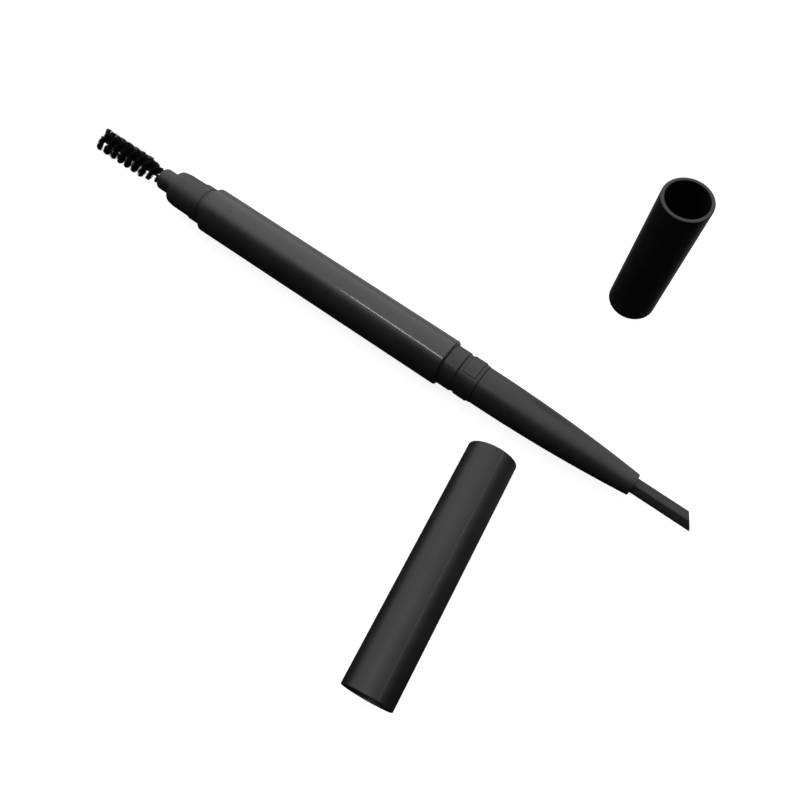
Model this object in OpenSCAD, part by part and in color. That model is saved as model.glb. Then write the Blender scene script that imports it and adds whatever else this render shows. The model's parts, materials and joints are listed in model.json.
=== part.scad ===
// Double-ended brow pencil: a twist-up slanted lead at one end, a spiral brush at the other, and two caps
// laid beside it. The pen lies along X with the pencil end at +X. The origin is on the pen's axis, at the
// middle of the barrel, and the pen and both caps rest on one flat surface.

/* [Barrel] */
// Length of the plain tube
barrel_l = 58; // [40:0.5:80]
// Outside diameter, shared by the caps
barrel_d = 9.5; // [9:0.1:12]
// Wall of the tube
barrel_wall = 1; // [0.7:0.05:1.1]
// Rounding of the tube's pencil-side edge
barrel_edge = 0.45; // [0.1:0.05:0.6]

/* [Collar] */
// Length of the collar that shows
collar_show = 7.4; // [6:0.1:12]
// Length of the collar inside the barrel
collar_seat = 8; // [5:0.5:10]
// Length of the collar's wide land at the barrel
collar_land = 3; // [2:0.1:4]
// Drop from the land and the pads to the neck between them
collar_step = 0.2; // [0.1:0.05:0.3]
// Width of each raised pad on the neck
pad_w = 5.8; // [1.5:0.1:6.5]
// Number of raised pads round the neck
pad_count = 2; // [1:1:3]
// Turn of the first pad, from the top towards the front
pad_turn = 156; // [0:1:180]

/* [Nozzle] */
// Length of the cone in front of the collar
nozzle_show = 33; // [24:0.5:45]
// Outside diameter of the cone at the collar
nozzle_d = 7.66; // [7.2:0.02:7.9]
// Outside diameter of the cone at its mouth
mouth_d = 4.35; // [4.1:0.05:5]
// How late the cone's taper comes: 1 is straight, 2 and more is bullet-shaped
nozzle_bow = 2.1; // [1:0.1:3]
// Outside diameter of the spigot that turns in the collar
spigot_d = 6.1; // [5.9:0.05:6.3]
// Wall of the guide tube pressed into the nozzle
guide_wall = 0.42; // [0.3:0.02:0.5]

/* [Twist-up drive] */
// How far the lead travels, from fully out to fully in
travel = 13.2; // [8:0.1:16]
// Advance of the lead for one turn of the nozzle
thread_lead = 6; // [4:0.5:8]
// Width of each spiral groove, along the axis
groove_w = 1.4; // [1.3:0.05:1.6]
// Diameter of each peg that rides in the groove
peg_d = 1; // [0.8:0.05:1.1]
// Diameter of the push rod
rod_d = 3; // [2:0.1:3.4]

/* [Lead] */
// Width of the lead across its edges
lead_w = 3.4; // [2.8:0.05:3.5]
// Thickness of the lead across its facets
lead_t = 2.6; // [2:0.05:2.8]
// Length of the lead out of the mouth, to its sharp tip
lead_out = 12.2; // [8:0.1:13]
// How far the cut end slants back across the width
lead_slant = 1.8; // [0:0.1:4]
// How far the cut end leans back through the thickness, towards the upper ridge
lead_lean = 1.6; // [0:0.1:3]
// Length of lead held in its cup
lead_grip = 5; // [3:0.5:8]

/* [Spiral brush] */
// Length of the plug's neck that shows
plug_neck = 9.5; // [7:0.1:12]
// Distance from the barrel to the plug's bead, which holds the short cap
bead_at = 1.6; // [1:0.1:2.5]
// Length of the bead
bead_l = 1.8; // [1:0.1:3]
// Drop from the bead to the neck
bead_step = 0.21; // [0.18:0.01:0.3]
// Length of the plug inside the barrel
plug_seat = 9; // [6:0.5:12]
// Diameter of the boss that holds the wire
boss_d = 4.5; // [3.5:0.1:5.5]
// Length of the boss
boss_l = 3.9; // [3:0.1:6]
// Diameter over the bristles
brush_d = 5.1; // [4.5:0.1:6.4]
// Length of the bristles
brush_l = 15.9; // [12:0.1:18]
// Pitch of the two-leaf bristle ribbon
brush_pitch = 3.8; // [3:0.1:6]
// Diameter of one strand of the twisted wire
wire_d = 0.56; // [0.4:0.02:0.7]

/* [Caps] */
// Wall of the long cap, which sets its bore and the collar's land
pencil_cap_wall = 0.57; // [0.5:0.01:0.9]
// Wall of the short cap, which sets its bore and the plug's bead
brush_cap_wall = 0.72; // [0.6:0.01:0.9]
// Depth of the long cap beyond the end of the nozzle
pencil_cap_spare = 5.5; // [1:0.1:8]
// Depth of the short cap beyond the tip of the wire
brush_cap_spare = 0.7; // [0.5:0.1:4]
// End wall of both caps
cap_end = 1.1; // [0.8:0.1:2]
// Diameter of the moulded dimple in the closed end
dimple_d = 1.7; // [1:0.1:3]

/* [Layout] */
// How far along the pen, from the middle of the barrel, the long cap's closed end lies
pencil_cap_x = 46; // [20:1:60]
// Gap between the pen and the long cap
pencil_cap_gap = 5; // [4:0.5:20]
// Turn of the long cap, measured from the pen's axis
pencil_cap_turn = 97.7; // [85:0.1:100]
// How far along the pen the short cap stands
brush_cap_x = 50; // [-20:1:70]
// How far behind the pen's axis the short cap stands
brush_cap_y = 37; // [20:1:60]

/* [Clearances] */
// Gap round a piece that turns or slides in another
run_gap = 0.05; // [0.03:0.01:0.08]
// Gap round a piece that is pressed in or glued
seat_gap = 0.02; // [0.01:0.005:0.03]
// Gap between end faces that pass each other
end_gap = 0.05; // [0.05:0.05:0.3]

/* [Hidden] */
$fn = 96;
eps = 0.01;

pencil_mouth = barrel_l / 2;
brush_mouth = -barrel_l / 2;
table_z = -barrel_d / 2;

barrel_bore = barrel_d - 2 * barrel_wall;
seat_d = barrel_bore - 2 * seat_gap;

// The long cap slides with a running gap over the collar's land and pads, and the short cap over the bead.
pencil_cap_bore = barrel_d - 2 * pencil_cap_wall;
collar_land_d = pencil_cap_bore - 2 * run_gap;
brush_cap_bore = barrel_d - 2 * brush_cap_wall;
bead_d = brush_cap_bore - 2 * run_gap;

collar_bore = spigot_d + 2 * run_gap;
neck_d = collar_land_d - 2 * collar_step;

// Along the pencil side, lengths are measured outward from the barrel's pencil mouth.
nozzle_start = collar_show + end_gap;
nozzle_end = nozzle_start + nozzle_show;
snap_len = 1.2;
snap_lip = 0.2;
spigot_end = -(collar_seat + end_gap + snap_len);
guide_od = spigot_d - 1;
guide_id = guide_od - 2 * guide_wall;
guide_front = 2;
ring_at = 4.4;
ring_section = 0.4;
ring_mid = collar_bore - 2 * seat_gap - ring_section;
cup_d = guide_id - 2 * run_gap;
bore_front = nozzle_end - nozzle_show * 0.38;
mouth_bore = lead_w + 0.25;

// The groove, the slots and the pegs share the place of the pegs, which stand fully forward at rest.
drive_front = spigot_end - 0.4;
peg_x = drive_front - peg_d / 2 - 0.5;
slot_end = peg_x - travel - peg_d / 2 - 0.4;
guide_end = slot_end - 1.2;
slot_w = peg_d + 2 * run_gap;
groove_d = guide_od + 1.5;
rib_d = guide_od + 2 * run_gap + 0.06;
peg_reach = groove_d / 2 - 0.15;
sleeve_end = guide_end - 0.3;
sleeve_plug_l = 2;
pilot_l = 0.6;

lead_tip = nozzle_end + lead_out;
cup_l = 6;
cup_front = bore_front - 0.7;
cup_back = cup_front - cup_l;
lead_back = cup_front - lead_grip;

// Along the brush side, lengths are measured outward from the barrel's brush mouth.
plug_d = bead_d - 2 * bead_step;
lip_d = plug_d - 0.66;
boss_end = plug_neck + boss_l;
brush_start = boss_end + 0.8;
brush_end = brush_start + brush_l;
wire_tip = brush_end + 0.8;
wire_seat = 5;
wire_envelope = 2 * wire_d;
brush_turns = brush_l / brush_pitch;

pencil_cap_l = nozzle_end + pencil_cap_spare + cap_end;
brush_cap_l = wire_tip + brush_cap_spare + cap_end;

plastic = [0.09, 0.09, 0.095];
dark_plastic = [0.06, 0.06, 0.065];
pigment = [0.14, 0.13, 0.13];

// Stands a shape that is drawn up Z along the pen, at a length from the pencil mouth.
module on_pencil_side(at = 0) {
  translate([pencil_mouth + at, 0, 0]) rotate([0, 90, 0]) children();
}

// The same on the brush side, pointing out of the other mouth.
module on_brush_side(at = 0) {
  translate([brush_mouth - at, 0, 0]) rotate([0, -90, 0]) children();
}

module tube(l, od, id) {
  difference() {
    cylinder(h = l, d = od);
    translate([0, 0, -1]) cylinder(h = l + 2, d = id);
  }
}

// A ring of round section, centred on its own plane.
module o_ring(mid_d, section_d) {
  rotate_extrude() translate([mid_d / 2, 0]) circle(d = section_d, $fn = 32);
}

module barrel() {
  bore_r = barrel_bore / 2;
  outer_r = barrel_d / 2;
  fine_edge = 0.08;
  rounded = [for (a = [0 : 15 : 90])
    [outer_r - barrel_edge * (1 - cos(a)), barrel_l - barrel_edge * (1 - sin(a))]];
  color(plastic) translate([brush_mouth, 0, 0]) rotate([0, 90, 0])
    rotate_extrude() polygon(concat(
      [[bore_r, 0], [outer_r - fine_edge, 0], [outer_r, fine_edge]], rounded, [[bore_r, barrel_l]]));
}

module pencil_collar() {
  pad_start = collar_land + 0.8;
  pad_l = collar_show - pad_start - 0.7;
  chamfer = 0.2;
  color(plastic) difference() {
    union() {
      on_pencil_side(-collar_seat) cylinder(h = collar_seat, d = seat_d);
      on_pencil_side() cylinder(h = collar_land, d = collar_land_d);
      on_pencil_side(collar_land) cylinder(h = chamfer, d1 = collar_land_d, d2 = neck_d);
      on_pencil_side() cylinder(h = collar_show, d = neck_d);
      intersection() {
        on_pencil_side(pad_start) cylinder(h = pad_l, d = collar_land_d);
        for (i = [0 : pad_count - 1])
          rotate([i * 360 / pad_count + pad_turn, 0, 0])
            translate([pencil_mouth + pad_start, -pad_w / 2, 0]) cube([pad_l, pad_w, barrel_d]);
      }
    }
    on_pencil_side(-collar_seat - 1) cylinder(h = collar_seat + collar_show + 2, d = collar_bore);
  }
}

// Two helical grooves run the length of the sleeve, half a turn apart, and pass through the pegs' place.
module spiral_sleeve() {
  l = drive_front - sleeve_end;
  groove_angle = groove_w / thread_lead * 360;
  rib_angle = 180 - groove_angle;
  start_angle = (peg_x - sleeve_end) / thread_lead * 360;
  lap = 0.1;
  outer_r = groove_d / 2 + lap;
  inner_r = rib_d / 2;
  steps = 6;
  arc = [for (i = [0 : steps]) groove_angle / 2 + rib_angle * i / steps];
  color(dark_plastic) {
    on_pencil_side(sleeve_end) tube(l, seat_d, groove_d);
    on_pencil_side(sleeve_end)
      linear_extrude(height = l, twist = l / thread_lead * 360, slices = ceil(l * 4), convexity = 6, $fn = 8)
        rotate(start_angle) for (turn = [0, 180]) rotate(turn) polygon(concat(
          [for (a = arc) outer_r * [cos(a), sin(a)]],
          [for (i = [steps : -1 : 0]) inner_r * [cos(arc[i]), sin(arc[i])]]));
  }
}

// The plug closes the sleeve, and its pilot centres the end of the guide tube.
module sleeve_plug() {
  back = sleeve_end - sleeve_plug_l;
  color(dark_plastic) on_pencil_side(back) {
    cylinder(h = sleeve_plug_l, d = seat_d);
    cylinder(h = guide_end + pilot_l - back, d = guide_id - 2 * run_gap);
  }
}

module nozzle() {
  length = nozzle_end - nozzle_start;
  steps = 18;
  lip = 0.12;
  cone = [for (i = [0 : steps])
    let (t = i / steps)
    [nozzle_d / 2 - (nozzle_d - mouth_d) / 2 * pow(t, nozzle_bow), nozzle_start + (length - lip) * t]];
  spigot_r = spigot_d / 2;
  ring_groove_r = ring_mid / 2 - ring_section / 2 - seat_gap;
  color(plastic) on_pencil_side() difference() {
    rotate_extrude() polygon(concat(
      [[0, spigot_end], [spigot_r - 0.3, spigot_end], [spigot_r + snap_lip, spigot_end + 0.6],
       [spigot_r + snap_lip, spigot_end + snap_len], [spigot_r, spigot_end + snap_len],
       [spigot_r, ring_at - ring_section / 2 - 0.05], [ring_groove_r, ring_at - ring_section / 2 - 0.05],
       [ring_groove_r, ring_at + ring_section / 2 + 0.05], [spigot_r, ring_at + ring_section / 2 + 0.05],
       [spigot_r, nozzle_start]],
      cone,
      [[mouth_d / 2 - lip, nozzle_end], [0, nozzle_end]]));
    translate([0, 0, spigot_end - 1]) cylinder(h = guide_front - spigot_end + 1, d = guide_od + 2 * seat_gap);
    translate([0, 0, guide_front - eps]) cylinder(h = bore_front - guide_front, d = guide_id);
    translate([0, 0, bore_front - 2 * eps]) cylinder(h = 1, d1 = guide_id, d2 = mouth_bore);
    translate([0, 0, bore_front + 0.5]) cylinder(h = nozzle_end - bore_front, d = mouth_bore);
  }
}

module friction_ring() {
  color("dimgray") on_pencil_side(ring_at) o_ring(ring_mid, ring_section);
}

module guide_tube() {
  color(dark_plastic) difference() {
    on_pencil_side(guide_end) tube(guide_front - guide_end, guide_od, guide_id);
    translate([pencil_mouth + slot_end, -slot_w / 2, -barrel_d / 2])
      cube([drive_front - slot_end - 0.1, slot_w, barrel_d]);
  }
}

module carrier() {
  hub_l = peg_d + 1.4;
  color("gainsboro") {
    on_pencil_side(peg_x - hub_l / 2) cylinder(h = hub_l, d = cup_d);
    on_pencil_side(peg_x) cylinder(h = cup_back - peg_x, d = rod_d);
    translate([pencil_mouth + peg_x, 0, -peg_reach]) cylinder(h = 2 * peg_reach, d = peg_d);
  }
}

module lead_cup() {
  color("gainsboro") difference() {
    on_pencil_side(cup_back) cylinder(h = cup_l, d = cup_d);
    lead_bar(lead_back, cup_front + 1, seat_gap);
  }
}

// The lead's section is a flattened diamond with its edges eased, and a flat ridge above and below.
module lead_bar(from, to, grow = 0) {
  ease = 0.16;
  w = lead_w / 2 + grow;
  t = lead_t / 2 + grow;
  ridge = -lead_w * 0.06;
  on_pencil_side(from) linear_extrude(height = to - from)
    polygon([[ease, w - ease / 3], [t - ease / 2, ridge + ease], [t, ridge], [t - ease / 2, ridge - ease],
             [ease, ease / 3 - w], [-ease, ease / 3 - w], [ease / 2 - t, ridge - ease], [-t, ridge],
             [ease / 2 - t, ridge + ease], [-ease, w - ease / 3]]);
}

// The cut runs through the sharp tip on the near edge, slanting back across the width and up to the ridge.
module lead() {
  across = lead_slant / lead_w;
  through = lead_lean / lead_t;
  spare = lead_w;
  color(pigment) difference() {
    lead_bar(lead_back, lead_tip + spare);
    translate([pencil_mouth + lead_tip, -lead_w / 2, 0])
      rotate([0, -atan(through / norm([1, across])), atan(across)])
        translate([0, -3 * spare, -3 * spare]) cube(6 * spare);
  }
}

module brush_plug() {
  front_edge = 1.47;
  round_r = 0.5;
  core_d = 5.4;
  core_l = plug_seat + 5;
  boss_round = [for (a = [0 : 15 : 90])
    [boss_d / 2 - round_r * (1 - cos(a)), boss_end - round_r * (1 - sin(a))]];
  color(plastic) on_brush_side() difference() {
    rotate_extrude() polygon(concat(
      [[0, -plug_seat], [seat_d / 2 - 0.3, -plug_seat], [seat_d / 2, 0.3 - plug_seat], [seat_d / 2, 0],
       [plug_d / 2, 0], [plug_d / 2, bead_at - 0.3], [bead_d / 2, bead_at],
       [bead_d / 2, bead_at + bead_l], [plug_d / 2, bead_at + bead_l + 0.3],
       [plug_d / 2 - 0.05, plug_neck - front_edge], [lip_d / 2 + 0.12, plug_neck - 0.12],
       [lip_d / 2, plug_neck], [boss_d / 2, plug_neck]],
      boss_round, [[0, boss_end]]));
    translate([0, 0, -plug_seat - 1]) cylinder(h = core_l + 1, d = core_d);
    translate([0, 0, boss_end - wire_seat]) cylinder(h = wire_seat + 1, d = wire_envelope + 2 * seat_gap);
  }
}

// The wire is one hairpin twisted on itself, so its outside is a round bar two strands across.
module brush_wire() {
  color("silver") on_brush_side(boss_end - wire_seat + 0.2)
    cylinder(h = wire_tip - boss_end + wire_seat - 0.2, d = wire_envelope);
}

// The bristles leave the wire as two leaves, half a turn apart, that wind along it.
module bristles() {
  inner_r = wire_envelope / 2 + seat_gap;
  outer_r = brush_d / 2;
  steps = 3;
  spread = 34;
  color("black") on_brush_side(brush_start)
    linear_extrude(height = brush_l, twist = brush_turns * 360, slices = ceil(brush_turns * 18),
                   convexity = 6, $fn = 8)
      for (turn = [0, 180]) rotate(turn) polygon(concat(
        [for (i = [0 : steps]) let (a = spread * (i / steps - 0.5) * 2) outer_r * [cos(a), sin(a)]],
        [for (i = [steps : -1 : 0]) let (a = spread * (i / steps - 0.5) * 2) inner_r * [cos(a), sin(a)]]));
}

// A cap drawn standing on its closed end, with its mouth up. The closed end has a dimple with a gate nub.
module cap(l, bore) {
  outer_r = barrel_d / 2;
  bore_r = bore / 2;
  end_round = 0.2;
  rim = 0.12;
  mouth_ease = 0.15;
  dish_depth = 0.35;
  dish_r = (dimple_d * dimple_d / 4 + dish_depth * dish_depth) / (2 * dish_depth);
  foot = [for (a = [0 : 15 : 90]) [outer_r - end_round * (1 - sin(a)), end_round * (1 - cos(a))]];
  difference() {
    rotate_extrude() polygon(concat(
      [[0, 0]], foot,
      [[outer_r, l - rim], [outer_r - rim, l], [bore_r + mouth_ease, l], [bore_r, l - mouth_ease],
       [bore_r, cap_end + 0.3], [bore_r - 0.3, cap_end], [0, cap_end]]));
    translate([0, 0, dish_depth - dish_r]) sphere(r = dish_r, $fn = 64);
  }
  cylinder(h = dish_depth + 0.2, d = dimple_d / 5, $fn = 32);
}

module pencil_cap() {
  near_y = -barrel_d / 2 * (1 + abs(cos(pencil_cap_turn))) - pencil_cap_gap;
  color(plastic) translate([pencil_cap_x, near_y, 0]) rotate([0, 0, pencil_cap_turn + 180])
    rotate([0, 90, 0]) cap(pencil_cap_l, pencil_cap_bore);
}

module brush_cap() {
  color(plastic) translate([brush_cap_x, brush_cap_y, table_z]) cap(brush_cap_l, brush_cap_bore);
}

barrel();
pencil_collar();
spiral_sleeve();
sleeve_plug();
brush_plug();
brush_wire();
bristles();
nozzle();
guide_tube();
friction_ring();
carrier();
lead_cup();
lead();
pencil_cap();
brush_cap();
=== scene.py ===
import bpy
import json
import math
import random
from mathutils import Matrix, Vector


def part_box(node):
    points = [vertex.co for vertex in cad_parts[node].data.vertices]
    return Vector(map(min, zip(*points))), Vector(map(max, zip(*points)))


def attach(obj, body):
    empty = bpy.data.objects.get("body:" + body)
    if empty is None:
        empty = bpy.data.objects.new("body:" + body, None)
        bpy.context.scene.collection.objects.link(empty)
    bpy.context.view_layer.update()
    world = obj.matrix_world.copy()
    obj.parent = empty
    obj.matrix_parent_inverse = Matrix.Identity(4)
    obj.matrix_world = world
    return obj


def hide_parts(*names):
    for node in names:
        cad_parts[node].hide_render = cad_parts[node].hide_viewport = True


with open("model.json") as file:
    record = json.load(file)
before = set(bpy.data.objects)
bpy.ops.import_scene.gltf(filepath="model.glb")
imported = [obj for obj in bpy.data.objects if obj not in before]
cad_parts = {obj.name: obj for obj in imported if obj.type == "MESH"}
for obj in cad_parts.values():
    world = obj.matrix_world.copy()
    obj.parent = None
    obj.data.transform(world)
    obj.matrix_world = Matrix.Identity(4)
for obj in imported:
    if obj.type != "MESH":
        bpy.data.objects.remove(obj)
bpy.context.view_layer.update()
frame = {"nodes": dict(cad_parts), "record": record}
mm = 0.001
mounts = {m["name"]: m for m in frame["record"]["mounts"]}
print("frame loaded")


class Value:
    # an output of a node: arithmetic on it adds the Math nodes
    def __init__(self, graph, socket):
        self.graph = graph
        self.socket = socket

    def maths(self, operation, first, second):
        return self.graph.add("ShaderNodeMath", {"operation": operation}, {0: first, 1: second})

    def __add__(self, other):
        return self.maths("ADD", self, other)

    def __radd__(self, other):
        return self.maths("ADD", other, self)

    def __sub__(self, other):
        return self.maths("SUBTRACT", self, other)

    def __rsub__(self, other):
        return self.maths("SUBTRACT", other, self)

    def __mul__(self, other):
        return self.maths("MULTIPLY", self, other)

    def __rmul__(self, other):
        return self.maths("MULTIPLY", other, self)

    def smooth(self, low, high):
        # 0 below low, 1 above high, eased between
        return self.graph.add("ShaderNodeMapRange", {"interpolation_type": "SMOOTHSTEP"},
                              {0: self, 1: low, 2: high, 3: 0.0, 4: 1.0})


class Graph:
    def __init__(self, tree):
        self.tree = tree

    def add(self, kind, settings=None, sockets=None, out=0):
        # every node is made here: its settings first, then the values or links of its sockets
        node = self.tree.nodes.new(kind)
        for key, value in (settings or {}).items():
            setattr(node, key, value)
        for key, value in (sockets or {}).items():
            if isinstance(value, Value):
                self.tree.links.new(value.socket, node.inputs[key])
            else:
                node.inputs[key].default_value = value
        return Value(self, node.outputs[out])

    def mix(self, factor, first, second):
        return self.add("ShaderNodeMix", {"data_type": "RGBA"}, {0: factor, 6: first, 7: second}, out=2)


class Finish(Graph):
    def __init__(self, name, **constants):
        self.material = bpy.data.materials.new(name)
        self.material.use_nodes = True
        super().__init__(self.material.node_tree)
        self.shader = self.tree.nodes["Principled BSDF"]
        for words, value in constants.items():
            self.shader.inputs[words.replace("_", " ")].default_value = value

    def feed(self, name, value):
        self.tree.links.new(value.socket, self.shader.inputs[name])

    def place(self, turn=(0, 0, 0), scale=(1, 1, 1)):
        spot = self.add("ShaderNodeTexCoord", out=3)
        return self.add("ShaderNodeMapping", {}, {0: spot, 2: turn, 3: scale})

    def noise(self, where, scale, detail=3.0, rough=0.5):
        return self.add("ShaderNodeTexNoise", {}, {"Vector": where, "Scale": scale, "Detail": detail,
                                                   "Roughness": rough})

    def bump(self, height, strength, distance):
        self.feed("Normal", self.add("ShaderNodeBump", {}, {"Height": height, "Strength": strength,
                                                            "Distance": distance}))


def grey(level):
    return (level, level, level * 1.02, 1.0)


polished = dict(dark=0.012, light=0.018, rough=0.34, spread=0.08, coat=0.5, coatRough=0.08)
# the caps take the barrel's black plastic painted darker: painted shade, with a thinner coat
capShadedGloss = dict(dark=0.008, light=0.012, rough=0.36, spread=0.08, coat=0.1, coatRough=0.08)
satin = dict(dark=0.014, light=0.022, rough=0.36, spread=0.12, coat=0.12, coatRough=0.3)


def shellPlastic(name, look, turn=(0, 0, 0)):
    # black moulded plastic: faint flow lines along the piece, cloudy gloss, fine handling marks
    f = Finish(name, IOR=1.5, Coat_Weight=look["coat"], Coat_Roughness=look["coatRough"])
    flow = f.noise(f.place(turn, (18, 600, 600)), 1.0, 4.0, 0.6)
    cloud = f.noise(f.place(turn), 170.0, 4.0, 0.55)
    fine = f.noise(f.place(turn), 2600.0, 2.0)
    acrossFlow = (turn[0], turn[1], turn[2] + 0.5)
    scuffs = f.noise(f.place(acrossFlow, (260, 2400, 900)), 1.0, 3.0, 0.7).smooth(0.66, 0.74)
    f.feed("Base Color", f.mix(cloud.smooth(0.35, 0.7), grey(look["dark"]), grey(look["light"])))
    f.feed("Roughness", look["rough"] + flow * look["spread"] + cloud * 0.05 + scuffs * 0.08)
    f.bump(fine * 0.4 + flow * 0.9, 0.15, 0.00002)
    return f.material


def endPlastic(name):
    # the spark-textured end face of a cap, greyer and flatter than its polished side
    f = Finish(name, IOR=1.5)
    grain = f.noise(f.place(), 5200.0, 2.0, 0.6)
    cloud = f.noise(f.place(), 300.0, 3.0)
    f.feed("Base Color", f.mix(cloud, grey(0.02), grey(0.03)))
    f.feed("Roughness", 0.42 + grain * 0.12 + cloud * 0.06)
    f.bump(grain, 0.35, 0.00002)
    return f.material


def innerPlastic(name, level, rough):
    # unpolished mouldings inside the pen
    f = Finish(name, IOR=1.48)
    cloud = f.noise(f.place(), 240.0, 3.0)
    fine = f.noise(f.place(), 2400.0, 2.0)
    f.feed("Base Color", f.mix(cloud, grey(level * 0.85), grey(level)))
    f.feed("Roughness", rough + fine * 0.1)
    f.bump(fine, 0.2, 0.00002)
    return f.material


def ringRubber():
    f = Finish("ringRubber", IOR=1.5)
    fine = f.noise(f.place(), 3200.0, 3.0)
    f.feed("Base Color", f.mix(fine, grey(0.012), grey(0.022)))
    f.feed("Roughness", 0.5 + fine * 0.15)
    f.bump(fine, 0.3, 0.00002)
    return f.material


pigment = dict(dark=(0.013, 0.0127, 0.0124, 1), light=(0.027, 0.0262, 0.0255, 1), rough=0.5)
# a lighter copy of the pigment, given to the cut face
lighterCut = dict(dark=(0.03, 0.0292, 0.0285, 1), light=(0.055, 0.0535, 0.052, 1), rough=0.42)


def pigmentLead(name, look):
    # pressed wax and pigment: matt, finely speckled, with drag marks along the extrusion
    f = Finish(name, IOR=1.45)
    grains = f.noise(f.place(), 5200.0, 4.0, 0.7)
    cloud = f.noise(f.place(), 700.0, 3.0)
    drag = f.noise(f.place(scale=(60, 3600, 3600)), 1.0, 3.0, 0.6)
    pores = f.add("ShaderNodeTexVoronoi", {"feature": "F1"}, {"Vector": f.place(), "Scale": 3000.0})
    tone = cloud * 0.4 + grains * 0.6
    f.feed("Base Color", f.mix(tone.smooth(0.3, 0.75), look["dark"], look["light"]))
    f.feed("Roughness", look["rough"] + grains * 0.16 - drag * 0.08)
    f.bump(grains * 0.6 + drag * 0.5 + pores.smooth(0.0, 0.25) * 0.4, 0.5, 0.00004)
    return f.material


def bristleNylon():
    f = Finish("bristleNylon", IOR=1.33)
    cloud = f.noise(f.place(), 1800.0, 2.0)
    f.feed("Base Color", f.mix(cloud, grey(0.0015), grey(0.004)))
    f.feed("Roughness", 0.5 + cloud * 0.2)
    return f.material


def drawnWire():
    # bright drawn steel, with fine die lines and a little tarnish in the twist
    f = Finish("drawnWire", Metallic=1.0)
    lines = f.noise(f.place(scale=(300, 9000, 9000)), 1.0, 3.0, 0.6)
    cloud = f.noise(f.place(), 900.0, 3.0)
    f.feed("Base Color", f.mix(cloud.smooth(0.4, 0.75), (0.86, 0.86, 0.85, 1), (0.6, 0.6, 0.59, 1)))
    f.feed("Roughness", 0.13 + lines * 0.1 + cloud * 0.05)
    f.bump(lines, 0.2, 0.00001)
    return f.material


def alone(piece=None):
    # nothing but the piece selected, in object mode
    if bpy.context.object and bpy.context.object.mode != "OBJECT":
        bpy.ops.object.mode_set(mode="OBJECT")
    bpy.ops.object.select_all(action="DESELECT")
    if piece:
        piece.select_set(True)
        bpy.context.view_layer.objects.active = piece


def edit(piece, kind):
    alone(piece)
    bpy.ops.object.mode_set(mode="EDIT")
    bpy.ops.mesh.select_mode(type=kind)
    bpy.ops.mesh.select_all(action="DESELECT")


def pickFaces(piece, test):
    # selects in edit mode the faces whose centre and normal pass the test, and nothing else
    bpy.ops.mesh.select_mode(type="FACE")
    bpy.ops.mesh.select_all(action="DESELECT")
    bpy.ops.object.mode_set(mode="OBJECT")
    for face in piece.data.polygons:
        face.select = test(face.center, face.normal)
    bpy.ops.object.mode_set(mode="EDIT")


def pickEdges(piece, test):
    # selects in edit mode the edges whose two ends pass the test, and nothing else
    bpy.ops.mesh.select_mode(type="EDGE")
    bpy.ops.mesh.select_all(action="DESELECT")
    bpy.ops.object.mode_set(mode="OBJECT")
    spots = [v.co for v in piece.data.vertices]
    for edge in piece.data.edges:
        edge.select = test(spots[edge.vertices[0]], spots[edge.vertices[1]])
    bpy.ops.object.mode_set(mode="EDIT")


def arc(x, r, radius, start, end, steps=6):
    # points of a round edge in a turned outline, centred at (x, r), angles from +x towards +r
    angles = [math.radians(start + (end - start) * i / steps) for i in range(steps + 1)]
    return [(x + radius * math.cos(a), r + radius * math.sin(a)) for a in angles]


def smooth(piece, degrees):
    alone(piece)
    bpy.ops.object.shade_smooth_by_angle(angle=math.radians(degrees))


def supported(outline, reach):
    # a ring near both ends of each long straight stretch keeps the shading of that stretch flat
    points = [outline[0]]
    for (x0, r0), (x1, r1) in zip(outline, outline[1:]):
        long = math.hypot(x1 - x0, r1 - r0)
        if long > 4 * reach:
            points += [(x0 + (x1 - x0) * share, r0 + (r1 - r0) * share)
                       for share in (reach / long, 1 - reach / long)]
        points.append((x1, r1))
    return points


def turned(name, outline, segments=96, closed=True, sharp=32, reach=0.12):
    # turns an outline of (along, radius) in mm about the X axis, one extruded ring for each point
    alone()
    if reach:
        outline = supported(outline, reach)
    x, r = outline[0]
    bpy.ops.mesh.primitive_circle_add(vertices=segments, radius=r * mm, location=(x * mm, 0, 0),
                                      rotation=(0, math.pi / 2, 0))
    piece = bpy.context.object
    piece.name = name
    bpy.ops.object.transform_apply(location=True, rotation=True, scale=True)
    bpy.ops.object.mode_set(mode="EDIT")
    bpy.ops.mesh.select_mode(type="VERT")
    bpy.ops.mesh.select_all(action="SELECT")
    for newX, newR in outline[1:] + ([outline[0]] if closed else []):
        bpy.ops.mesh.extrude_region_move(TRANSFORM_OT_translate={"value": ((newX - x) * mm, 0, 0)})
        if abs(newR - r) > 1e-7:
            ratio = newR / r
            bpy.ops.transform.resize(value=(1, ratio, ratio), center_override=(newX * mm, 0, 0))
        x, r = newX, newR
    bpy.ops.mesh.select_all(action="SELECT")
    bpy.ops.mesh.remove_doubles(threshold=1e-7)
    bpy.ops.mesh.normals_make_consistent(inside=False)
    smooth(piece, sharp)
    return piece


def settle(piece, spot=(0, 0, 0), turn=(0, 0, 0)):
    # puts a piece in its place and leaves that place in its mesh
    alone(piece)
    piece.location = spot
    piece.rotation_euler = turn
    bpy.ops.object.transform_apply(location=True, rotation=True, scale=True)


def put(piece, body, materials, node):
    piece.data.materials.clear()
    for material in materials:
        piece.data.materials.append(material)
    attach(piece, body)
    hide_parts(node)


def span(node, axis=0):
    low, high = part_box(node)
    return low[axis] / mm, high[axis] / mm


def angleOf(spot):
    # degrees round the pen's axis: 90 is the top and 180 the front
    return math.degrees(math.atan2(spot.z, spot.y)) % 360


def apart(a, b):
    return abs((a - b + 180) % 360 - 180)


def pickPatch(piece, low, high, radius, middle, half):
    # the outer faces of a turned piece between two places along it, round an angle
    pickFaces(piece, lambda c, n: low < c.x / mm < high and math.hypot(c.y, c.z) > (radius - 0.05) * mm
              and apart(angleOf(c), middle) < half)


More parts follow.
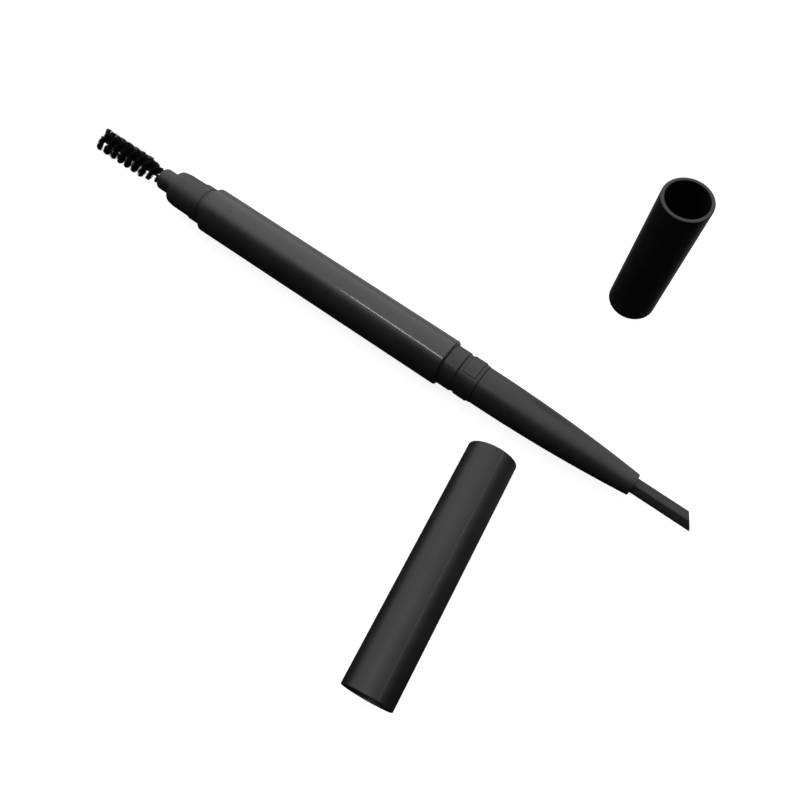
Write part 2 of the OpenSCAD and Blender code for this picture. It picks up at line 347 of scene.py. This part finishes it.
# sizes that several pieces share, in mm
barrelLow, barrelHigh = span("barrel")
barrelR = mounts["barrel_grip"]["dims"]["r_mm"]
tableZ = -barrelR * mm
runGap = 0.05
seatGap = 0.02
axisR = 0.0001
barrelPlastic = shellPlastic("barrelPlastic", polished)
neckPlastic = shellPlastic("neckPlastic", satin)

# barrel: a plain tube, generously rounded at the pencil's mouth and nearly sharp at the brush's
barrel = dict(wall=1.0, round=0.45, fineEdge=0.1, boreEase=0.1, endRun=1.5, rings=12)
boreR = barrelR - barrel["wall"]
outline = [(barrelLow, boreR + barrel["boreEase"]), (barrelLow + barrel["boreEase"], boreR)]
outline += [(barrelHigh - barrel["boreEase"], boreR), (barrelHigh, boreR + barrel["boreEase"])]
outline += arc(barrelHigh - barrel["round"], barrelR - barrel["round"], barrel["round"], 0, 90, 8)
plainFrom, plainTo = barrelHigh - barrel["endRun"], barrelLow + barrel["endRun"]
for i in range(barrel["rings"] + 1):
    outline += [(plainFrom + (plainTo - plainFrom) * i / barrel["rings"], barrelR)]
outline += arc(barrelLow + barrel["fineEdge"], barrelR - barrel["fineEdge"], barrel["fineEdge"], 90, 180, 4)
put(turned("barrelTube", outline, 128), "barrel", [barrelPlastic], "barrel")
print("barrel done")

# pencil collar: a wide land, a neck with raised pads, and a small blank mould mark
collar = dict(land=3.0, landRound=0.06, landFlat=0.2, landFoot=0.25, step=0.2, padFrom=3.8, padTo=6.7,
              padHalf=44.5, padCount=2, padAt=66.0, padSlope=0.12, markFrom=0.8, markTo=2.2, markHalf=9.5,
              markInner=6.5, markAt=109.0, markRise=0.07, markFrame=0.2, markSlope=0.04, boreR=3.1,
              boreEase=0.1, endRound=0.12, endFlat=0.3, seatEase=0.2)
collarLow, collarHigh = span("pencil_collar")
mouthX = barrelHigh
landR = mounts["pencil_neck"]["dims"]["r_mm"]
neckR = landR - collar["step"]
seatR = boreR - seatGap
landEnd = mouthX + collar["land"]
padLow, padHigh = mouthX + collar["padFrom"], mouthX + collar["padTo"]
markLow, markHigh = mouthX + collar["markFrom"], mouthX + collar["markTo"]
outline = [(collarLow, collar["boreR"]), (mouthX, collar["boreR"])]
outline += [(collarHigh - collar["boreEase"], collar["boreR"])]
outline += [(collarHigh, collar["boreR"] + collar["boreEase"])]
outline += arc(collarHigh - collar["endRound"], neckR - collar["endRound"], collar["endRound"], 0, 90, 4)
outline += [(collarHigh - collar["endFlat"], neckR), (padHigh, neckR), (padLow, neckR)]
outline += [(landEnd + collar["landFoot"], neckR)]
outline += arc(landEnd - collar["landRound"], landR - collar["landRound"], collar["landRound"], 20, 90, 3)
outline += [(landEnd - collar["landFlat"], landR)]
outline += [(markHigh - rim, landR) for rim in (0, collar["markFrame"])]
outline += [(markLow + rim, landR) for rim in (collar["markFrame"], 0)]
outline += [(mouthX + seatGap, landR), (mouthX + seatGap, seatR)]
outline += [(collarLow + collar["seatEase"], seatR), (collarLow, seatR - collar["seatEase"])]
piece = turned("collarSleeve", outline, 144, reach=0)
edit(piece, "FACE")
for i in range(collar["padCount"]):
    middle = collar["padAt"] + i * 360 / collar["padCount"]
    pickPatch(piece, padLow, padHigh, neckR, middle, collar["padHalf"])
    bpy.ops.mesh.inset(thickness=collar["padSlope"] * mm, depth=collar["step"] * mm)
for rim, half, rise in ((0, collar["markHalf"], 1), (collar["markFrame"], collar["markInner"], -1)):
    pickPatch(piece, markLow + rim, markHigh - rim, landR, collar["markAt"], half)
    bpy.ops.mesh.inset(thickness=collar["markSlope"] * mm, depth=rise * collar["markRise"] * mm)
smooth(piece, 32)
put(piece, "barrel", [neckPlastic], "pencil_collar")
print("collar done")

# nozzle: a bullet-shaped cone with a thin round mouth, and its spigot behind
nozzle = dict(startR=3.83, startEase=0.1, mouthR=2.175, bow=2.1, rings=30, ringShift=0.6, lip=0.14,
              boreR=1.825, mouthRun=0.5, flareLong=0.12, flare=0.03, throatR=2.13, throat=12.3,
              throatSlope=0.9, tubeR=2.57, socketTo=2.0, ringAt=4.4, ringHalf=0.25, ringR=2.66,
              spigotR=3.05, lipR=3.25, lipFrom=0.6, lipTo=1.2, endEase=0.3)
nozzleStart = collarHigh + runGap
nozzleLow, nozzleHigh = span("nozzle")


def coneAt(share):
    drop = (nozzle["startR"] - nozzle["mouthR"]) * share ** nozzle["bow"]
    return nozzleStart + (nozzleHigh - nozzleStart) * share, nozzle["startR"] - drop


socketEnd, throatStart = mouthX + nozzle["socketTo"], nozzleHigh - nozzle["throat"]
outline = [(nozzleLow, nozzle["tubeR"]), (socketEnd, nozzle["tubeR"]), (socketEnd, nozzle["throatR"])]
outline += [(throatStart, nozzle["throatR"]), (throatStart + nozzle["throatSlope"], nozzle["boreR"])]
outline += [(nozzleHigh - nozzle["mouthRun"], nozzle["boreR"])]
outline += [(nozzleHigh - nozzle["flareLong"], nozzle["boreR"] + nozzle["flare"])]
outline += arc(nozzleHigh - nozzle["lip"], nozzle["mouthR"] - nozzle["lip"], nozzle["lip"], -40, 85, 6)
outline += [coneAt(1 - (i + nozzle["ringShift"]) / nozzle["rings"]) for i in range(nozzle["rings"] - 1)]
startEase = nozzle["startEase"]
outline += arc(nozzleStart + startEase, nozzle["startR"] - startEase, startEase, 90, 180, 4)
ringFrom = mouthX + nozzle["ringAt"] - nozzle["ringHalf"]
ringTo = ringFrom + 2 * nozzle["ringHalf"]
outline += [(nozzleStart, nozzle["spigotR"]), (ringTo, nozzle["spigotR"]), (ringTo, nozzle["ringR"])]
outline += [(ringFrom, nozzle["ringR"]), (ringFrom, nozzle["spigotR"])]
outline += [(nozzleLow + nozzle["lipTo"], nozzle["spigotR"]), (nozzleLow + nozzle["lipTo"], nozzle["lipR"])]
outline += [(nozzleLow + nozzle["lipFrom"], nozzle["lipR"])]
outline += [(nozzleLow, nozzle["spigotR"] - nozzle["endEase"])]
put(turned("nozzleCone", outline, 128), "nozzle", [neckPlastic], "nozzle")
print("nozzle done")

# lead: a flattened diamond bar with eased edges and a two-way slanted cut
lead = dict(width=3.4, thick=2.6, ridge=-0.5, slant=1.8, lean=1.25, ease=0.14, cutEase=0.05, out=12.2,
            spare=2, steps=40)
leadLow, leadHigh = span("lead")
tipX = nozzleHigh + lead["out"]
alone()
bpy.ops.mesh.primitive_circle_add(vertices=4, radius=1 * mm, location=(leadLow * mm, 0, 0),
                                  rotation=(0, math.pi / 2, 0), fill_type="NGON")
piece = bpy.context.object
piece.name = "pigmentStick"
bpy.ops.object.transform_apply(location=True, rotation=True, scale=True)
edit(piece, "FACE")
bpy.ops.mesh.select_all(action="SELECT")
bpy.ops.transform.resize(value=(1, lead["width"] / 2, lead["thick"] / 2),
                         center_override=(leadLow * mm, 0, 0))
stepX = (leadHigh + lead["spare"] - leadLow) / lead["steps"]
for i in range(lead["steps"]):
    bpy.ops.mesh.extrude_region_move(TRANSFORM_OT_translate={"value": (stepX * mm, 0, 0)})
bpy.ops.object.mode_set(mode="OBJECT")
for v in piece.data.vertices:
    if abs(v.co.z) > 0.5 * mm:
        v.co.y += lead["ridge"] * mm
bpy.ops.object.mode_set(mode="EDIT")
bpy.ops.mesh.select_all(action="SELECT")
bpy.ops.mesh.normals_make_consistent(inside=False)
pickEdges(piece, lambda a, b: abs(a.x - b.x) > 1e-6)
bpy.ops.mesh.bevel(offset=lead["ease"] * mm, segments=3, profile=0.5, affect="EDGES")
across = lead["slant"] / lead["width"]
through = lead["lean"] / lead["thick"]
cutWay = Vector((1, across, through)).normalized()
bpy.ops.mesh.select_all(action="SELECT")
bpy.ops.mesh.bisect(plane_co=(tipX * mm, -lead["width"] / 2 * mm, 0), plane_no=cutWay, use_fill=True,
                    clear_outer=True)
pickFaces(piece, lambda c, n: n.dot(cutWay) > 0.99)
bpy.ops.mesh.bevel(offset=lead["cutEase"] * mm, segments=2, profile=0.5, affect="EDGES", clamp_overlap=True)
smooth(piece, 24)
# the second finish, a lighter copy of the pigment, goes on the cut face
put(piece, "lead_carrier", [pigmentLead("pressedPigment", pigment),
                                            pigmentLead("cutPigment", lighterCut)], "lead")
for face in piece.data.polygons:
    face.material_index = 1 if face.normal.dot(cutWay) > 0.97 else 0
print("lead done")

# brush plug: neck with a snap bead, a chamfered lip, and the boss that grips the wire
plug = dict(neck=9.5, neckR=3.77, beadFrom=1.6, beadTo=3.4, slope=0.3, bend=0.03, bendFoot=0.07,
            waist=5.5, waistIn=0.02, lip=1.47, lipIn=0.05, lipR=3.44, lipOut=0.1, lipRound=0.2, lipDrop=0.16,
            bossR=2.25, boss=3.9, bossRound=0.5, bossFoot=0.2, bossWaist=1.6, fillet=0.15, seat=9.0,
            seatEase=0.3, core=14.0, coreR=2.7, wireR=0.58, wireEase=0.12, wireDeep=5.0)
beadR = mounts["brush_neck"]["dims"]["r_mm"]
neckEnd, bossEnd = -plug["neck"], -plug["neck"] - plug["boss"]
lipEnd, coreEnd = neckEnd + plug["lip"], plug["seat"] - plug["core"]
fillet = plug["fillet"]
outline = [(coreEnd, axisR), (coreEnd, plug["coreR"]), (plug["seat"], plug["coreR"])]
outline += [(plug["seat"], seatR - plug["seatEase"]), (plug["seat"] - plug["seatEase"], seatR)]
outline += [(seatGap, seatR), (-seatGap, plug["neckR"]), (-plug["beadFrom"] + plug["slope"], plug["neckR"])]
outline += [(-plug["beadFrom"] + plug["bendFoot"], beadR - plug["bend"])]
outline += [(-plug["beadFrom"] - plug["bend"], beadR), (-plug["beadTo"] + plug["bend"], beadR)]
outline += [(-plug["beadTo"] - plug["bendFoot"], beadR - plug["bend"])]
outline += [(-plug["beadTo"] - plug["slope"], plug["neckR"])]
outline += [(-plug["waist"], plug["neckR"] - plug["waistIn"])]
outline += [(lipEnd + plug["bend"], plug["neckR"] - plug["lipIn"])]
outline += [(lipEnd - plug["bend"], plug["neckR"] - plug["bendFoot"])]
outline += [(neckEnd + plug["slope"], plug["lipR"] + plug["lipOut"])]
outline += arc(neckEnd + plug["lipRound"], plug["lipR"] - plug["lipDrop"], plug["lipRound"], 60, 180, 4)
outline += [(neckEnd, plug["bossR"] + plug["bossFoot"])]
outline += arc(neckEnd - fillet, plug["bossR"] + fillet, fillet, 0, -90, 3)[1:]
outline += [(neckEnd - plug["bossWaist"], plug["bossR"])]
outline += arc(bossEnd + plug["bossRound"], plug["bossR"] - plug["bossRound"], plug["bossRound"], 90, 180, 7)
outline += [(bossEnd, plug["wireR"] + plug["wireEase"]), (bossEnd + plug["wireEase"], plug["wireR"])]
outline += [(bossEnd + plug["wireDeep"], plug["wireR"]), (bossEnd + plug["wireDeep"], axisR)]
piece = turned("brushPlug", [(barrelLow + x, r) for x, r in outline], 128, closed=False)
put(piece, "barrel", [neckPlastic], "brush_plug")
print("plug done")

# wire: a hairpin of two strands twisted left-handed, with one cut end a little longer than the other
wire = dict(strandR=0.29, orbit=0.275, pitch=3.8, sides=14, stepsPerTurn=26, startAngle=0.6, endStep=0.35,
            cutEase=0.09)
wireTip, wireRoot = span("brush_wire")


def twistAt(x):
    # where the first strand is round the axis, in radians from +Y towards +Z
    return wire["startAngle"] - 2 * math.pi * (x - wireTip) / wire["pitch"]


strands = []
for k in range(2):
    alone()
    startX = wireTip + k * wire["endStep"]
    start = twistAt(startX) + math.pi * k
    bpy.ops.mesh.primitive_circle_add(
        vertices=wire["sides"], radius=wire["strandR"] * mm, rotation=(0, math.pi / 2, 0),
        location=(startX * mm, wire["orbit"] * math.cos(start) * mm, wire["orbit"] * math.sin(start) * mm))
    strand = bpy.context.object
    bpy.ops.object.transform_apply(location=True, rotation=True, scale=True)
    turns = (wireRoot - startX) / wire["pitch"]
    screw = strand.modifiers.new("twist", "SCREW")
    screw.axis = "X"
    screw.screw_offset = (wireRoot - startX) * mm
    screw.angle = -2 * math.pi * turns
    screw.steps = int(turns * wire["stepsPerTurn"])
    screw.render_steps = screw.steps
    bpy.ops.object.modifier_apply(modifier="twist")
    edit(strand, "EDGE")
    bpy.ops.mesh.select_non_manifold()
    bpy.ops.mesh.edge_face_add()
    bpy.ops.mesh.select_all(action="SELECT")
    bpy.ops.mesh.normals_make_consistent(inside=False)
    pickFaces(strand, lambda c, n: abs(n.x) > 0.95)
    bpy.ops.mesh.bevel(offset=wire["cutEase"] * mm, segments=3, affect="EDGES")
    alone(strand)
    strands.append(strand)
piece = strands[0]
alone(piece)
strands[1].select_set(True)
bpy.ops.object.join()
piece.name = "twistedWire"
smooth(piece, 50)
put(piece, "barrel", [drawnWire()], "brush_wire")
print("wire done")

# bristles: straight filaments pinched between the strands, so their two ends make two leaves that wind along
brush = dict(tipR=2.52, thick=0.05, endThin=0.62, count=2700, spread=10.0, lean=3.5, offset=0.1,
             shortest=0.6, taper=3.8, ragged=0.07, slip=3, cuts=2, seed=7)
brushLow, brushHigh = span("bristles")
alone()
bpy.ops.mesh.primitive_cylinder_add(vertices=4, radius=brush["thick"] * mm, depth=2 * brush["tipR"] * mm)
filament = bpy.context.object
edit(filament, "EDGE")
pickEdges(filament, lambda a, b: abs(a.z - b.z) > 1e-6)
bpy.ops.mesh.subdivide(number_cuts=brush["cuts"])
pickEdges(filament, lambda a, b: abs(a.z - b.z) < 1e-6 and abs(a.z) > (brush["tipR"] - 0.01) * mm)
bpy.ops.transform.resize(value=(brush["endThin"], brush["endThin"], 1), center_override=(0, 0, 0))
alone(filament)
bpy.ops.object.shade_smooth()
seeded = random.Random(brush["seed"])
bristles = []
for i in range(brush["count"]):
    x = brushLow + (brushHigh - brushLow) * (i + 0.5) / brush["count"]
    grown = min(1.0, brush["shortest"] + (1 - brush["shortest"]) * (brushHigh - x) / brush["taper"])
    angle = twistAt(x) + math.radians(seeded.gauss(0, brush["spread"]))
    lean = math.radians(seeded.gauss(0, brush["lean"]))
    long = grown - seeded.random() * brush["ragged"]
    slide = seeded.uniform(-1, 1) * brush["offset"] * (1 - long) * brush["slip"]
    copy = filament.copy()
    copy.data = filament.data.copy()
    copy.matrix_world = (Matrix.Translation((x * mm, 0, 0)) @ Matrix.Rotation(angle, 4, "X")
                         @ Matrix.Rotation(lean, 4, "Y") @ Matrix.Translation((0, 0, slide * mm))
                         @ Matrix.Diagonal((1, 1, long, 1)))
    bpy.context.scene.collection.objects.link(copy)
    bristles.append(copy)
bpy.data.objects.remove(filament)
alone(bristles[0])
for copy in bristles:
    copy.select_set(True)
bpy.ops.object.join()
piece = bpy.context.object
piece.name = "bristleRibbon"
bpy.ops.object.transform_apply(location=True, rotation=True, scale=True)
put(piece, "barrel", [bristleNylon()], "bristles")
print("bristles done", len(piece.data.polygons))

# caps: turned along X with the closed end at 0 and the mouth at the cap's length, then put in place
cap = dict(endRound=0.22, rim=0.2, mouthEase=0.16, mouthRun=1.2, mouthSpare=0.15, endWall=1.1, corner=0.3,
           cornerRise=0.06, cornerIn=0.24, cornerFoot=0.4, dishR=0.85, dishDeep=0.35, dishSteps=8,
           dishEase=0.1, nubR=0.17, nubHigh=0.24, plainFrom=0.8, plainShort=2, rings=10)


def capPiece(name, mount, body, turn):
    dims = mounts[mount]["dims"]
    way = Vector(mounts[mount]["axis"])
    bore, innerR = dims["length_mm"], dims["r_mm"]
    boreStart = cap["endWall"] + cap["corner"]
    long = boreStart + bore + cap["mouthSpare"]
    nubTop = cap["dishDeep"] - cap["nubHigh"]
    nubFoot = cap["nubR"] * 1.3
    outline = [(nubTop, axisR), (nubTop, cap["nubR"] * 0.6), (nubTop + 0.06, cap["nubR"])]
    outline += [(cap["dishDeep"] - 0.03, cap["nubR"] * 1.15)]
    for i in range(1, cap["dishSteps"] + 1):
        share = i / cap["dishSteps"]
        outline += [(cap["dishDeep"] * (1 - share ** 2), nubFoot + (cap["dishR"] - nubFoot) * share)]
    outline += [(0, cap["dishR"] + cap["dishEase"]), (0, barrelR * 0.5)]
    outline += arc(cap["endRound"], barrelR - cap["endRound"], cap["endRound"], 180, 90, 6)
    for i in range(cap["rings"] + 1):
        outline += [(cap["plainFrom"] + (long - cap["plainShort"]) * i / cap["rings"], barrelR)]
    outline += arc(long - cap["rim"], barrelR - cap["rim"], cap["rim"], 90, 0, 6)
    outline += arc(long - cap["mouthEase"], innerR + cap["mouthEase"], cap["mouthEase"], 0, -90, 4)
    outline += [(long - cap["mouthRun"], innerR), (boreStart, innerR)]
    outline += [(cap["endWall"] + cap["cornerRise"], innerR - cap["cornerIn"])]
    outline += [(cap["endWall"], innerR - cap["cornerFoot"]), (cap["endWall"], axisR)]
    piece = turned(name, outline, 128, closed=False, sharp=30)
    for face in piece.data.polygons:
        face.material_index = 1 if face.center.x < 0.02 * mm and face.normal.x < -0.98 else 0
    settle(piece, Vector(mounts[mount]["pos_m"]) - way * (bore / 2 + boreStart) * mm, turn)
    indices = [face.material_index for face in piece.data.polygons]
    # the caps' sides get the darker copy of the black plastic: painted shade
    side = shellPlastic(name + "Plastic", capShadedGloss, tuple(-angle for angle in turn))
    put(piece, body, [side, capEnd], body)
    piece.data.polygons.foreach_set("material_index", indices)


capEnd = endPlastic("capEndFace")
longCapWay = Vector(mounts["pencil_cap_bore"]["axis"])
capPiece("longCap", "pencil_cap_bore", "pencil_cap", (0, 0, math.atan2(longCapWay.y, longCapWay.x)))
capPiece("shortCap", "brush_cap_bore", "brush_cap", (0, -math.pi / 2, 0))
print("caps done")

# the pieces inside the pen keep their own solids and get their finishes
innerBlack = innerPlastic("innerBlack", 0.03, 0.45)
innerNatural = innerPlastic("innerNatural", 0.68, 0.4)
for names, finish in ((("spiral_sleeve", "sleeve_plug", "guide_tube"), innerBlack),
                      (("carrier", "lead_cup"), innerNatural), (("friction_ring",), ringRubber())):
    for name in names:
        node = frame["nodes"][name]
        node.data.materials.clear()
        node.data.materials.append(finish)

# stage: pale floor, soft lights and the camera. Azimuths are from the front, towards the pencil end
stage = dict(target=(26.2 * mm, -11.5 * mm, 0), distance=0.155, azimuth=30.7, elevation=65.9, roll=5.5,
             lens=37.7, backDome=1.3, frontDome=0.03, underGlow=0.012, backGlow=0.45, floorGlow=0.88,
             floorSize=3, paper=(0.35, 0.37), skyTone=0.97, lampReach=0.8)
lamps = dict(topStrip=dict(azimuth=-38, elevation=71, width=0.26, height=0.03, watts=0.5),
             sideStrip=dict(azimuth=120, elevation=45, width=0.7, height=0.03, watts=0.45))
alone()
bpy.ops.mesh.primitive_plane_add(size=stage["floorSize"], location=(0, 0, tableZ))
floor = bpy.context.object
floor.name = "floor"
f = Finish("floorPaper", Roughness=0.9, Emission_Strength=stage["floorGlow"])
f.feed("Base Color", f.mix(f.noise(f.place(), 40.0), *map(grey, stage["paper"])))
floor.data.materials.append(f.material)
floor.visible_glossy = False
floor.visible_diffuse = False


def around(azimuth, elevation, distance):
    a, e = math.radians(azimuth), math.radians(elevation)
    return Vector((math.sin(a) * math.cos(e), -math.cos(a) * math.cos(e), math.sin(e))) * distance


def softLight(name, look, aim=(0.02, 0, 0)):
    light = bpy.data.lights.new(name, "AREA")
    light.shape = "RECTANGLE"
    light.size = look["width"]
    light.size_y = look["height"]
    light.energy = look["watts"]
    lamp = bpy.data.objects.new(name, light)
    bpy.context.scene.collection.objects.link(lamp)
    lamp.location = around(look["azimuth"], look["elevation"], stage["lampReach"])
    lamp.rotation_euler = (Vector(aim) - lamp.location).to_track_quat("-Z", "Y").to_euler()


for name, look in lamps.items():
    softLight(name, look)

# the room: pale where the camera sees it, and for everything else a dome that is bright behind the table
world = bpy.data.worlds.new("studio")
bpy.context.scene.world = world
world.use_nodes = True
room = Graph(world.node_tree)
direction = room.add("ShaderNodeTexCoord", out=0)
back = room.add("ShaderNodeSeparateXYZ", {}, {0: direction}, out=1)
up = room.add("ShaderNodeSeparateXYZ", {}, {0: direction}, out=2)
side = room.add("ShaderNodeSeparateXYZ", {}, {0: direction}, out=0)
towardsBack = back.smooth(-0.62, 0.12) * (1 - side.smooth(-0.1, 1.0))
overhead = room.mix(towardsBack, grey(stage["frontDome"]), grey(stage["backDome"]))
below = room.mix(back.smooth(0.2, 0.9), grey(stage["underGlow"]), grey(stage["backGlow"]))
dome = room.mix(up.smooth(-0.15, 0.25), below, overhead)
seen = room.add("ShaderNodeLightPath", out=0)
sky = room.mix(seen, dome, grey(stage["skyTone"]))
room.tree.links.new(sky.socket, room.tree.nodes["Background"].inputs["Color"])

camera = bpy.data.objects.new("camera", bpy.data.cameras.new("camera"))
bpy.context.scene.collection.objects.link(camera)
camera.data.lens = stage["lens"]
camera.data.sensor_width = 36
camera.data.clip_start = 0.005
target = Vector(stage["target"])
camera.location = target + around(stage["azimuth"], stage["elevation"], stage["distance"])
camera.rotation_euler = (target - camera.location).to_track_quat("-Z", "Y").to_euler()
camera.rotation_euler.rotate_axis("Z", math.radians(stage["roll"]))
bpy.context.scene.camera = camera
bpy.context.scene.view_settings.view_transform = "Standard"
print("stage done")
